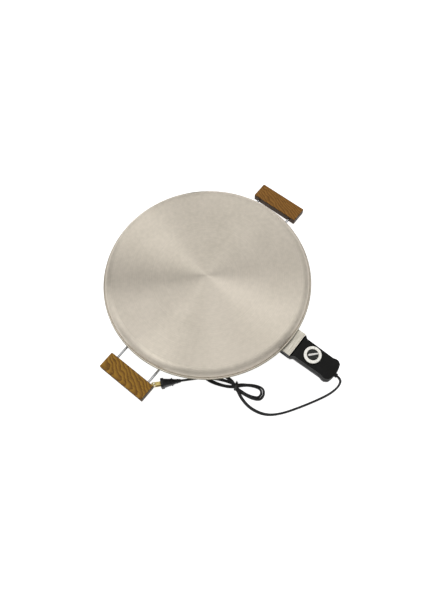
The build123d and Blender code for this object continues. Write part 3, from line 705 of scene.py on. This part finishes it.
# ---- the assemblies -------------------------------------------------------------------------------
@dataclass
class CookingPlate:
    """The spun plate: a flat floor, a rounded shoulder with one pouring notch, and a rolled bead."""

    palette: Palette
    thickness: float = 4.0 * MM
    shoulder_width: float = 17.0 * MM
    shoulder_depth: float = 13.5 * MM
    bead: float = 2.0 * MM
    bead_drop: float = 14.5 * MM
    skirt_drop: float = 16.8 * MM
    wall_inset: float = 3.5 * MM
    notch_angle: float = math.radians(45.8)
    notch_depth: float = 9.0 * MM
    notch_curve: float = 60.0 * MM
    notch_floor: float = -9.0 * MM
    notch_slope: float = 4.0
    notch_reach: float = 0.5

    def __post_init__(self) -> None:
        """Takes the plate's radius from the frame."""
        self.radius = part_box("griddle_plate")[1].x
        self.wall = self.radius - self.wall_inset

    def past_notch(self, radius: float, angle: float) -> float:
        """Says how far a point lies beyond the notch's inner edge.

        Args:
            radius: the point's radius.
            angle: its angle in radians.

        Returns:
            The distance, which is negative or zero away from the notch.
        """
        away = (angle - self.notch_angle + math.pi) % (2 * math.pi) - math.pi
        middle = self.radius + self.notch_curve - self.notch_depth
        inside = self.notch_curve**2 - (middle * math.sin(away)) ** 2
        if abs(away) > self.notch_reach or inside < 0:
            return 0.0
        return radius - (middle * math.cos(away) - math.sqrt(inside))

    def notched(self, radius: float, height: float, angle: float) -> tuple[float, float]:
        """Steps the outside of the shoulder down along the notch.

        Args:
            radius: a point's radius.
            height: its height.
            angle: its angle in radians.

        Returns:
            Its radius and its height with the notch.
        """
        past = self.past_notch(radius, angle)
        if past <= 0 or height < self.notch_floor:
            return radius, height
        return radius, max(height - self.notch_slope * past, self.notch_floor)

    def profile(self) -> list[tuple[float, float]]:
        """Gives half the plate's section, from the middle of its top to the middle of its underside."""
        flat = self.wall - self.shoulder_width
        outer = arc((flat, -self.shoulder_depth), (self.shoulder_width, self.shoulder_depth), 90, 5, 40)
        bead = arc((self.radius - self.bead, -self.bead_drop), (self.bead, self.bead), 140, -140, 22)
        inner_size = (self.shoulder_width - self.thickness, self.shoulder_depth - self.thickness)
        inner = arc((flat, -self.shoulder_depth), inner_size, 0, 90, 10)
        floor = [(flat * k / 9, 0.0) for k in range(9)]
        skirt = [(self.wall, -self.skirt_drop), (self.wall - self.thickness, -self.skirt_drop)]
        return floor + outer + bead + skirt + inner + [(0.0, -self.thickness)]

    def build(self) -> None:
        """Turns the plate, with painted shade along the notch and round the outside of its bead."""
        finish = self.palette[Slot.PLATE]
        plate = lathe("cooking_plate", self.profile(), finish, steps=540, sharp=38, shape=self.notched)
        plate.data.materials.append(self.palette.painted_shade_metal)
        # painted shade: faces round the outside of the bead and along the notch take the darker metal
        for face in plate.data.polygons:
            out, level = face.center.xy.length, face.center.z
            angle = math.atan2(face.center.y, face.center.x)
            outside_bead = out > self.wall and level < self.bead * math.sin(math.pi / 4) - self.bead_drop
            if outside_bead or (self.past_notch(out, angle) > 0 and level > -self.skirt_drop):
                face.material_index = 1
        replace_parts(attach(plate, "griddle"), "griddle_plate")
        log.info("cooking plate: %d faces", len(plate.data.polygons))


@dataclass
class Guard:
    """The cover over the terminal guard, with its folded edge at the mouth, coloured near-white as a painted
    highlight.
    """

    palette: Palette
    lip: float = 1.6 * MM
    edge: float = 0.35 * MM
    pan_gap: float = 0.3 * MM

    def build(self) -> None:
        """Makes the cover and its edge."""
        low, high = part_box("guard_cover")
        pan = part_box("base_pan")[1].x + self.pan_gap
        half = high.x
        reach = math.degrees(math.asin(half / pan))
        arch = [Vector(p) for p in arc((0, 0), (pan, pan), -90 + reach, -90 - reach, 24)]
        outline = [Vector((-half, low.y + self.lip)), Vector((half, low.y + self.lip))] + arch
        levels = [(low.z, self.edge), (low.z + self.edge, 0), (high.z - self.edge, 0), (high.z, self.edge)]
        loops = [[(*p, z) for p in inset(outline, gap)] for z, gap in levels]
        cover = loft("cover_plate", loops, self.palette[Slot.COVER], sharp=30)
        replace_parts(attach(cover, "griddle"), "guard_cover")
        middle = (low.y + self.lip / 2, (low.z + high.z) / 2)
        section = arc(middle, (self.lip / 2, (high.z - low.z) / 2), 0, 345, 23)
        loops = [[(x, *p) for p in section] for x in (-half, half)]
        # painted highlight: the folded edge wears the near-white material for the light along it
        lip = loft("cover_lip", loops, self.palette.lip, sharp=60)
        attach(lip, "griddle")
        log.info("guard cover and its folded edge")


@dataclass
class ControlHousing:
    """The black two-part housing of the probe control: a collar, a waist and a flared end."""

    palette: Palette
    side: tuple = (
        (26.5, -217.6),
        (26.5, -219.4),
        (22.0, -224.5),
        (22.0, -232.0),
        (21.0, -283.0),
        (22.8, -288.5),
        (22.8, -294.0),
        (18.5, -300.5),
    )
    tail: float = -304.0
    top: float = -22.0 * MM
    boss_radius: float = 16.9 * MM
    boss_rounding: float = 0.8 * MM
    corner: float = 1.3 * MM
    top_draft: float = math.tan(math.radians(5))
    bottom_draft: float = math.tan(math.radians(2))
    rounding: float = 1.2 * MM
    parting: float = 0.15 * MM

    def outline(self) -> list[Vector]:
        """Gives the housing's anticlockwise outline, with its corners rounded."""
        left = [Vector((-x, y)) * MM for x, y in self.side]
        right = [Vector((x, y)) * MM for x, y in reversed(self.side)]
        half_width, end = self.side[-1]
        ways = [k / 4 for k in range(-3, 4)]
        tail = [Vector((half_width * way, self.tail + (end - self.tail) * way**2)) * MM for way in ways]
        return rounded_outline(left + tail + right, self.corner)

    def levels(self, start: float, end: float, draft: float) -> list[tuple[float, float]]:
        """Gives the heights of a shell's loops and how far each is set in.

        Args:
            start: the parting line's height.
            end: the height of the shell's closed face.
            draft: the side's slope.

        Returns:
            Pairs of height and inset.
        """
        way = 1 if end > start else -1
        height = abs(end - start)
        steps = [(0.0, 0.3 * MM), (0.3 * MM, 0.0)]
        for k in range(7):
            turn = math.radians(15 * k)
            rise = height - self.rounding * (1 - math.sin(turn))
            steps.append((rise, draft * height + self.rounding * (1 - math.cos(turn))))
        return [(start + way * rise, gap) for rise, gap in steps]

    def make_boss(self) -> None:
        """Turns the round boss on the top shell, which the dial's ring sits on."""
        low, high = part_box("dial_ring")
        cap_low, cap_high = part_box("dial_knob")
        bore = (cap_high.x - cap_low.x) / 2 + CAP_GAP
        foot, top, r = self.top - 0.5 * MM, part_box("control_top_shell")[1].z, self.boss_rounding
        edge = arc((self.boss_radius - r, top - r), (r, r), 0, 90, 4)
        profile = [(self.boss_radius, foot), *edge, (bore, top), (bore, foot), (self.boss_radius, foot)]
        centre = ((low.x + high.x) / 2, (low.y + high.y) / 2)
        boss = lathe("dial_boss", profile, self.palette[Slot.PHENOLIC], centre, 96, sharp=40)
        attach(boss, "control")
        log.info("dial boss, radius %.1f mm", self.boss_radius / MM)

    def build(self) -> None:
        """Makes both shells, then the boss."""
        self.make_boss()
        outline = self.outline()
        line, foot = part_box("control_top_shell")[0].z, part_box("control_bottom_shell")[0].z
        for node, name, end, draft in (
            ("control_top_shell", "housing_top", self.top, self.top_draft),
            ("control_bottom_shell", "housing_bottom", foot, self.bottom_draft),
        ):
            start = line + math.copysign(self.parting, end - line)
            loops = [[(*p, z) for p in inset(outline, gap)] for z, gap in self.levels(start, end, draft)]
            shell = loft(name, loops, self.palette[Slot.PHENOLIC], sharp=40)
            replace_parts(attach(shell, "control"), node)
            log.info("%s: %d faces", name, len(shell.data.polygons))


@dataclass
class Dial:
    """The heat dial: a numbered ivory ring, a charcoal cap with a milled side, and a white pointer."""

    palette: Palette
    rest: float = 137.5
    sweep: float = 270.0
    round_over: float = 1.6 * MM
    numeral: float = 3.0 * MM
    milling_depth: float = 0.35 * MM
    settings: int = 8

    def __post_init__(self) -> None:
        """Takes the dial's place from the frame."""
        low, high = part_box("dial_ring")
        self.centre = ((low.x + high.x) / 2, (low.y + high.y) / 2)
        self.outer = (high.x - low.x) / 2
        self.ring_low, self.ring_high = low.z, high.z
        cap_low, cap_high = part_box("dial_knob")
        self.cap = (cap_high.x - cap_low.x) / 2
        self.cap_low, self.cap_high = cap_low.z, cap_high.z

    def build(self) -> None:
        """Makes the ring with its marks, then the cap and the pointer."""
        self.make_ring()
        self.make_marks()
        self.make_cap()
        self.make_pointer()

    def make_ring(self) -> None:
        """Turns the ivory ring."""
        bore = self.cap + CAP_GAP
        r = self.round_over
        edge = arc((self.outer - r, self.ring_high - r), (r, r), 0, 90, 8)
        inside = arc((bore + 0.5 * MM, self.ring_high - 0.5 * MM), (0.5 * MM, 0.5 * MM), 90, 180, 4)
        foot = (self.outer, self.ring_low)
        profile = [foot, *edge, *inside, (bore, self.ring_low), foot]
        ring = lathe("dial_scale", profile, self.palette[Slot.RING], self.centre, 120)
        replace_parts(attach(ring, "control"), "dial_ring")
        log.info("dial ring, radius %.1f mm", self.outer / MM)

    def make_marks(self) -> None:
        """Prints the ticks and the numbers 1 to 8 on the ring."""
        ink = 0.06 * MM
        top = (*self.centre, self.ring_high)
        start = self.rest - self.sweep
        size = (1.2 * MM, 0.45 * MM, ink)
        count, out = 2 * self.settings + 1, self.cap + 1.3 * MM
        ticks = bars_round_ring("dial_ticks", count, top, out, size, start, self.rest, self.palette.marking)
        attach(ticks, "control")
        for k in range(self.settings):
            angle = math.radians(self.rest - self.sweep * (k + 0.5) / self.settings)
            letter = bpy.data.curves.new(f"number_{k + 1}", "FONT")
            letter.body = str(k + 1)
            letter.size = self.numeral
            letter.align_x = letter.align_y = "CENTER"
            letter.extrude = ink / 2
            letter.resolution_u = 3
            source = new_object("number", letter)
            mesh = plain_mesh(source)
            bpy.data.objects.remove(source)
            out = self.cap + 3.5 * MM
            place = Vector(top) + Vector((out * math.cos(angle), out * math.sin(angle), 0))
            mesh.transform(Matrix.Translation(place) @ Matrix.Rotation(angle - math.pi / 2, 4, "Z"))
            mesh.materials.clear()
            mesh.materials.append(self.palette.marking)
            number = new_object(f"dial_number_{k + 1}", mesh)
            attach(number, "control")
        log.info("%d ticks and %d numbers", count, self.settings)

    def make_cap(self) -> None:
        """Turns the cap, with a milled band round its side."""
        r = 1.0 * MM
        side = self.cap - self.milling_depth
        edge = arc((side - r, self.cap_high - r), (r, r), 0, 90, 6)
        profile = [(0, self.cap_low), (side, self.cap_low), *edge, (0, self.cap_high)]
        cap = lathe("dial_cap", profile, self.palette[Slot.KNOB], self.centre, 96)
        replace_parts(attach(cap, "dial"), "dial_knob")
        height = self.cap_high - self.cap_low - r
        middle = (*self.centre, self.cap_low + height / 2)
        size = (0.7 * MM, 0.9 * MM, height)
        finish, bars = self.palette[Slot.KNOB], 48
        last = 360 - 360 / bars
        milling = bars_round_ring("dial_milling", bars, middle, self.cap - 0.4 * MM, size, 0, last, finish)
        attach(milling, "dial")
        log.info("dial cap, radius %.1f mm", self.cap / MM)

    def make_pointer(self) -> None:
        """Makes the raised bar, wider at its pointing end."""
        low, high = self.cap_high - 0.3 * MM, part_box("dial_bar")[1].z
        half, tail, neck, head = 9.8 * MM, 1.3 * MM, 7.35 * MM, 2.0 * MM
        corners = [(-half, tail), (-half, -tail), (neck, -head), (half, 0), (neck, head)]
        outline = rounded_outline(corners, 0.9 * MM)
        turn = Matrix.Rotation(math.radians(self.rest), 2)
        levels = [(low, 0.0), (high - 0.5 * MM, 0.0), (high - 0.15 * MM, 0.15 * MM), (high, 0.5 * MM)]
        loops = []
        for z, gap in levels:
            shifted = [turn @ p + Vector(self.centre) for p in inset(outline, gap)]
            loops.append([(*p, z) for p in shifted])
        pointer = loft("dial_pointer", loops, self.palette[Slot.BAR], sharp=30)
        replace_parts(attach(pointer, "dial"), "dial_bar")
        log.info("dial pointer at %.0f degrees", self.rest)


@dataclass
class Lead:
    """The flat two-core lead: strain relief, free run, tied figure-of-eight hank and two-blade plug."""

    palette: Palette
    exit: Point = (-0.001, -0.308, -0.033)
    first_run: tuple = (
        (-0.001, -0.308, -0.033),
        (-0.0015, -0.3155, -0.0350),
        (-0.0045, -0.3195, -0.0445),
        (-0.0125, -0.3203, -0.0575),
        (-0.0280, -0.3150, -0.0695),
        (-0.0510, -0.3030, -0.0730),
        (-0.0800, -0.2865, -0.0729),
        (-0.1120, -0.2660, -0.0730),
        (-0.1320, -0.2450, -0.0729),
        (-0.1395, -0.2180, -0.0735),
        (-0.1365, -0.1930, -0.0725),
        (-0.1260, -0.1720, -0.0712),
    )
    last_run: tuple = (
        (-0.1230, -0.1630, -0.0680),
        (-0.1260, -0.1530, -0.0640),
        (-0.1360, -0.1310, -0.0620),
        (-0.1520, -0.1085, -0.0620),
        (-0.1685, -0.0915, -0.0650),
        (-0.1810, -0.0800, -0.0635),
    )
    table: float = -0.076
    tie: Point = (-0.1235, -0.168, -0.0715)
    tie_angle: float = math.radians(113)
    width: float = 6.0 * MM
    thickness: float = 4.1 * MM
    declared_length: float = 0.90
    plug_heading: float = 137.5
    end_trim: float = 2.5
    nesting: float = 5.0
    pitch: float = 3.4
    loop_points: int = 9
    crossing_lifts: tuple = (0.0030, 0.0064)

    def hank(self) -> list[Point]:
        """Works out the two turns of the hank, each one a loop either side of the tie."""
        # far end of each loop from the tie, its half-width, and the side that it sets out on
        ways = [(Vector((-14.3, 67.4)), 13.6, 1), (Vector((21.2, -53.7)), 13.4, -1)]
        points: list[Point] = []
        for turn in range(2):
            for reach, half_width, side in ways:
                length = (reach.length - self.end_trim - self.nesting * (1 - turn)) * MM
                spread = (half_width - self.pitch * (1 - turn)) * MM
                along = reach.normalized()
                across = Vector((along.y, -along.x)) * side
                for k in range(self.loop_points):
                    t = (k + 0.5) / self.loop_points
                    out = length * math.sin(math.pi * t)
                    swing = math.sin(2 * math.pi * t)
                    aside = spread * math.copysign(abs(swing) ** 0.6, swing)
                    spot = Vector(self.tie[:2]) + along * out + across * aside
                    points.append((*spot, self.table + self.width / 2))
                lift = self.crossing_lifts[side > 0]
                shift = across * (turn - 0.5) * self.pitch * MM
                if (turn, side) != (1, -1):
                    points.append((self.tie[0] + shift.x, self.tie[1] + shift.y, self.table + lift))
        return points

    def route(self) -> list[Vector]:
        """Reads evenly fine points from the lead's own NURBS spline."""
        control = [*self.first_run, *self.hank(), *self.last_run]
        curve = bpy.data.curves.new("lead_route", "CURVE")
        curve.dimensions = "3D"
        spline = curve.splines.new("NURBS")
        spline.points.add(len(control) - 1)
        for spot, place in zip(spline.points, control):
            spot.co = (*place, 1.0)
        spline.order_u = 3
        spline.use_endpoint_u = True
        spline.resolution_u = 12
        source = new_object("lead_route", curve)
        mesh = plain_mesh(source)
        bpy.data.objects.remove(source)
        return [v.co.copy() for v in mesh.vertices]

    def section(self) -> list[tuple[float, float]]:
        """Gives the jacket's section: two cores side by side, with a groove between them."""
        core = self.thickness / 2
        offset = self.width / 2 - core
        right = arc((offset, 0), (core, core), -75, 75, 6)
        left = arc((-offset, 0), (core, core), 105, 255, 6)
        groove = core * 0.72
        return [*right, (0.0, groove), *left, (0.0, -groove)]

    def roll(self, gone: float, left: float, spot: Vector, coiled: bool) -> float:
        """Says how far the flat lead stands on edge at one place.

        Args:
            gone: the length from the exit.
            left: the length to the plug.
            spot: the place.
            coiled: whether it is in the hank.

        Returns:
            The angle in radians, from flat on the table at zero to on edge.
        """

        def ease(x: float) -> float:
            x = min(max(x, 0.0), 1.0)
            return x * x * (3 - 2 * x)

        near_exit = 1 - ease((gone - 0.15) / 0.07)
        near_plug = 1 - ease((left - 0.03) / 0.06)
        away = (spot.xy - Vector(self.tie[:2])).length
        in_loop = 0.85 * ease((away - 0.006) / 0.018) if coiled else 0.0
        return math.pi / 2 * max(near_exit, near_plug, in_loop)

    def make_cord(self) -> bpy.types.Object:
        """Skins the jacket along the route."""
        route = self.route()
        lengths = [0.0]
        for a, b in zip(route, route[1:]):
            lengths.append(lengths[-1] + (b - a).length)
        total = lengths[-1]
        hank_from, hank_to = 0.255, total - 0.105
        section = self.section()
        loops = []
        for i, spot in enumerate(route):
            along = (route[min(i + 1, len(route) - 1)] - route[max(i - 1, 0)]).normalized()
            side = along.cross(Vector((0, 0, 1))).normalized()
            up = side.cross(along)
            gone = lengths[i]
            angle = self.roll(gone, total - gone, spot, hank_from < gone < hank_to)
            wide = side * math.cos(angle) + up * math.sin(angle)
            thin = along.cross(wide)
            loops.append([spot + wide * a + thin * b for a, b in section])
        cord = loft("mains_lead", loops, self.palette[Slot.JACKET], sharp=60)
        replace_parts(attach(cord, "control"), "lead_cord", "plug_cord", "cord_hank")
        self.path = [tuple(p) for p in route]
        log.info("lead: %.3f m on its middle line, %d faces", total, len(cord.data.polygons))
        return cord

    def make_gland(self) -> list[bpy.types.Object]:
        """Makes the tapered strain relief with its ribs."""
        low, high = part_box("cord_gland")
        x, z = self.exit[0], self.exit[2]
        profile = [(high.y, 5.1), (high.y - 4 * MM, 5.0), (low.y + 1.0 * MM, 4.0), (low.y, 3.4)]
        loops = []
        for y, radius in profile:
            r = radius * MM
            loops.append([(x + r * math.cos(a), y, z + r * math.sin(a)) for a in self.round(32)])
        sleeve = loft("strain_relief", loops, self.palette[Slot.JACKET], sharp=50)
        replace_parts(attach(sleeve, "control"), "cord_gland")
        start, step, radii = (x, high.y - 8.5 * MM, z), (0, -2.4 * MM, 0), (4.7 * MM, 3.9 * MM)
        finish = self.palette[Slot.JACKET]
        ribs = ribs_along_line("strain_relief_ribs", 5, start, step, radii, 0.5 * MM, finish)
        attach(ribs, "control")
        log.info("strain relief, %.0f mm long", (high.y - low.y) / MM)
        return [sleeve, ribs]

    @staticmethod
    def round(steps: int) -> list[float]:
        """Gives even angles round a circle, in radians."""
        return [2 * math.pi * k / steps for k in range(steps)]

    def make_tie(self) -> list[bpy.types.Object]:
        """Wraps the strip round the bunch and leaves its two ends twisted together."""
        low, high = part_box("cord_tie")
        along = Vector((math.cos(self.tie_angle), math.sin(self.tie_angle), 0))
        across = Vector((-along.y, along.x, 0))
        middle = Vector((*self.tie[:2], (low.z + high.z) / 2))
        half = Vector((8.2 * MM, (high.z - low.z) / 2))
        corners = [Vector((-half.x, -half.y)), Vector((half.x, -half.y)), half, Vector((-half.x, half.y))]
        outer = rounded_outline(corners, 4.0 * MM, 6)
        loops = []
        for gap, reach in ((0.0, -2.3), (0.0, 2.3), (0.9, 2.3), (0.9, -2.3)):
            ring = inset(outer, gap * MM)
            loops.append([middle + across * p.x + Vector((0, 0, p.y)) + along * reach * MM for p in ring])
        count = len(outer)
        points = [p for loop in loops for p in loop]
        faces = []
        for level in range(4):
            a, b = level * count, (level + 1) % 4 * count
            faces += [(a + i, a + (i + 1) % count, b + (i + 1) % count, b + i) for i in range(count)]
        band = piece("tie_band", points, faces, self.palette[Slot.TIE], sharp=50)
        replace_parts(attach(band, "control"), "cord_tie")
        loops = []
        for k in range(15):
            t = k / 14
            angle = t * 2.6 * math.pi
            out, rise = half.x + 3.2 * MM * t, (2.5 - 4.0 * t) * MM
            spot = middle - across * out + Vector((0, 0, rise)) + along * MM * t
            wide = along * math.cos(angle) + Vector((0, 0, 1)) * math.sin(angle)
            thin = across.cross(wide)
            size = (1.5 - 0.7 * t) * MM
            ways = [wide * size, thin * size * 0.45]
            loops.append([spot + way for way in (ways[0], ways[1], -ways[0], -ways[1])])
        tail = loft("tie_tail", loops, self.palette[Slot.TIE], sharp=70)
        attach(tail, "control")
        log.info("tie and its twisted end")
        return [band, tail]

    def make_plug(self) -> bpy.types.Object:
        """Lofts the plug: a neck, a ridged grip and a flared face, lying on its narrow side."""
        start = Vector(self.last_run[-1])
        heading = math.radians(self.plug_heading)
        along = Vector((math.cos(heading), math.sin(heading), 0))
        across = Vector((-along.y, along.x, 0))
        # distance from the neck, width and height, in millimetres
        stations = [
            (0.0, 4.6, 6.6),
            (1.2, 6.2, 8.0),
            (5.0, 6.6, 8.6),
            (5.6, 7.6, 9.6),
            (7.4, 7.8, 9.9),
            (8.0, 7.2, 9.4),
            (15.0, 10.0, 13.0),
            (15.8, 13.6, 17.0),
            (17.6, 13.8, 17.4),
            (18.4, 11.4, 15.0),
            (26.0, 13.0, 18.4),
            (31.5, 15.0, 21.4),
            (32.6, 18.2, 24.6),
            (37.2, 18.5, 25.0),
            (38.0, 17.4, 24.0),
        ]
        loops = []
        for distance, wide, high in stations:
            w, h = wide / 2 * MM, high / 2 * MM
            corners = [Vector((-w, -h)), Vector((w, -h)), Vector((w, h)), Vector((-w, h))]
            ring = rounded_outline(corners, min(w, h) * 0.7, 5)
            centre = start + along * distance * MM
            loops.append([centre + across * p.x + Vector((0, 0, p.y)) for p in ring])
        plug = loft("plug_moulding", loops, self.palette[Slot.VINYL], sharp=32)
        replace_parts(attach(plug, "control"), "plug_body")
        log.info("plug, %.0f mm long", stations[-1][0])
        return plug

    def build(self) -> None:
        cord = self.make_cord()
        others = [*self.make_gland(), *self.make_tie(), self.make_plug(), "plug_blades"]


# ---- the studio -----------------------------------------------------------------------------------
@dataclass(frozen=True)
class Softbox:
    """A soft light that faces the object."""

    name: str
    azimuth: float
    elevation: float
    power: float
    size: tuple[float, float] = (0.6, 0.8)
    distance: float = 1.7

    def build(self) -> None:
        """Places the light."""
        data = bpy.data.lights.new(self.name, "AREA")
        data.shape = "RECTANGLE"
        data.size, data.size_y = self.size
        data.energy = self.power
        light = new_object(self.name, data)
        turn, rise = math.radians(self.azimuth), math.radians(self.elevation)
        away = Vector((math.cos(rise) * math.cos(turn), math.cos(rise) * math.sin(turn), math.sin(rise)))
        light.location = away * self.distance
        light.rotation_euler = away.to_track_quat("Z", "Y").to_euler()


@dataclass
class Studio:
    """The camera, the lights and the plain pale floor."""

    eye: Point = (-0.3234, -0.3116, 0.9273)
    right: Point = (0.62253, -0.78239, -0.01830)
    up: Point = (0.72450, 0.56731, 0.39147)
    back: Point = (-0.29587, -0.25693, 0.92002)
    lens: float = 31.98
    floor_half: float = 4.0
    surround: float = 0.5
    floor_glow: float = 0.85

    def build(self) -> None:
        """Sets up the view."""
        scene = bpy.context.scene
        scene.view_settings.view_transform = "Standard"
        data = bpy.data.cameras.new("studio_camera")
        data.lens = self.lens
        data.sensor_width = 36.0
        camera = new_object("studio_camera", data)
        turned = Matrix((self.right, self.up, self.back)).transposed().to_4x4()
        camera.matrix_world = Matrix.Translation(self.eye) @ turned
        scene.camera = camera
        for light in (
            Softbox("overhead", 0, 88, 2.8),
            Softbox("high right", 0, 62, 1.8),
            Softbox("high near right", 320, 62, 1.4),
            Softbox("high left", 120, 62, 2.0),
            Softbox("high near left", 160, 62, 2.6),
            Softbox("low right", 24, 38, 1.1),
            Softbox("low far right", 48, 38, 0.55),
            Softbox("low far", 72, 38, 1.85),
            Softbox("low left", 120, 38, 1.5),
        ):
            light.build()
        world = bpy.data.worlds.new("studio")
        world.use_nodes = True
        world.node_tree.nodes["Background"].inputs["Color"].default_value = (1, 1, 1, 1)
        world.node_tree.nodes["Background"].inputs["Strength"].default_value = self.surround
        scene.world = world
        self.make_floor()

    def make_floor(self) -> None:
        """Lays the pale floor under the feet."""
        base = bpy.data.materials.new("matt white floor")
        base.use_nodes = True
        shader = base.node_tree.nodes["Principled BSDF"]
        shader.inputs["Base Color"].default_value = linear("#C8C8C8")
        shader.inputs["Roughness"].default_value = 0.9
        shader.inputs["Emission Color"].default_value = (1, 1, 1, 1)
        shader.inputs["Emission Strength"].default_value = self.floor_glow
        half, level = self.floor_half, CAD_BOX[0][2]
        corners = [(-half, -half, level), (half, -half, level), (half, half, level), (-half, half, level)]
        floor = piece("floor", corners, [(0, 1, 2, 3)], base)
        log.info("floor at %.1f mm", level / MM)


def main() -> None:
    """Builds the griddle's looks in order."""
    logging.basicConfig(level=logging.INFO, format="%(name)s: %(message)s")
    palette = Palette()
    Studio().build()
    Lead(palette).build()
    CookingPlate(palette).build()
    Guard(palette).build()
    ControlHousing(palette).build()
    Dial(palette).build()
    replaced = {
        "griddle_plate", "guard_cover", "control_top_shell", "control_bottom_shell", "dial_ring", "dial_knob",
        "dial_bar", "cord_gland", "lead_cord", "plug_cord", "cord_hank", "cord_tie", "plug_body",
    }
    palette.dress(replaced)


if __name__ == "__main__":
    main()
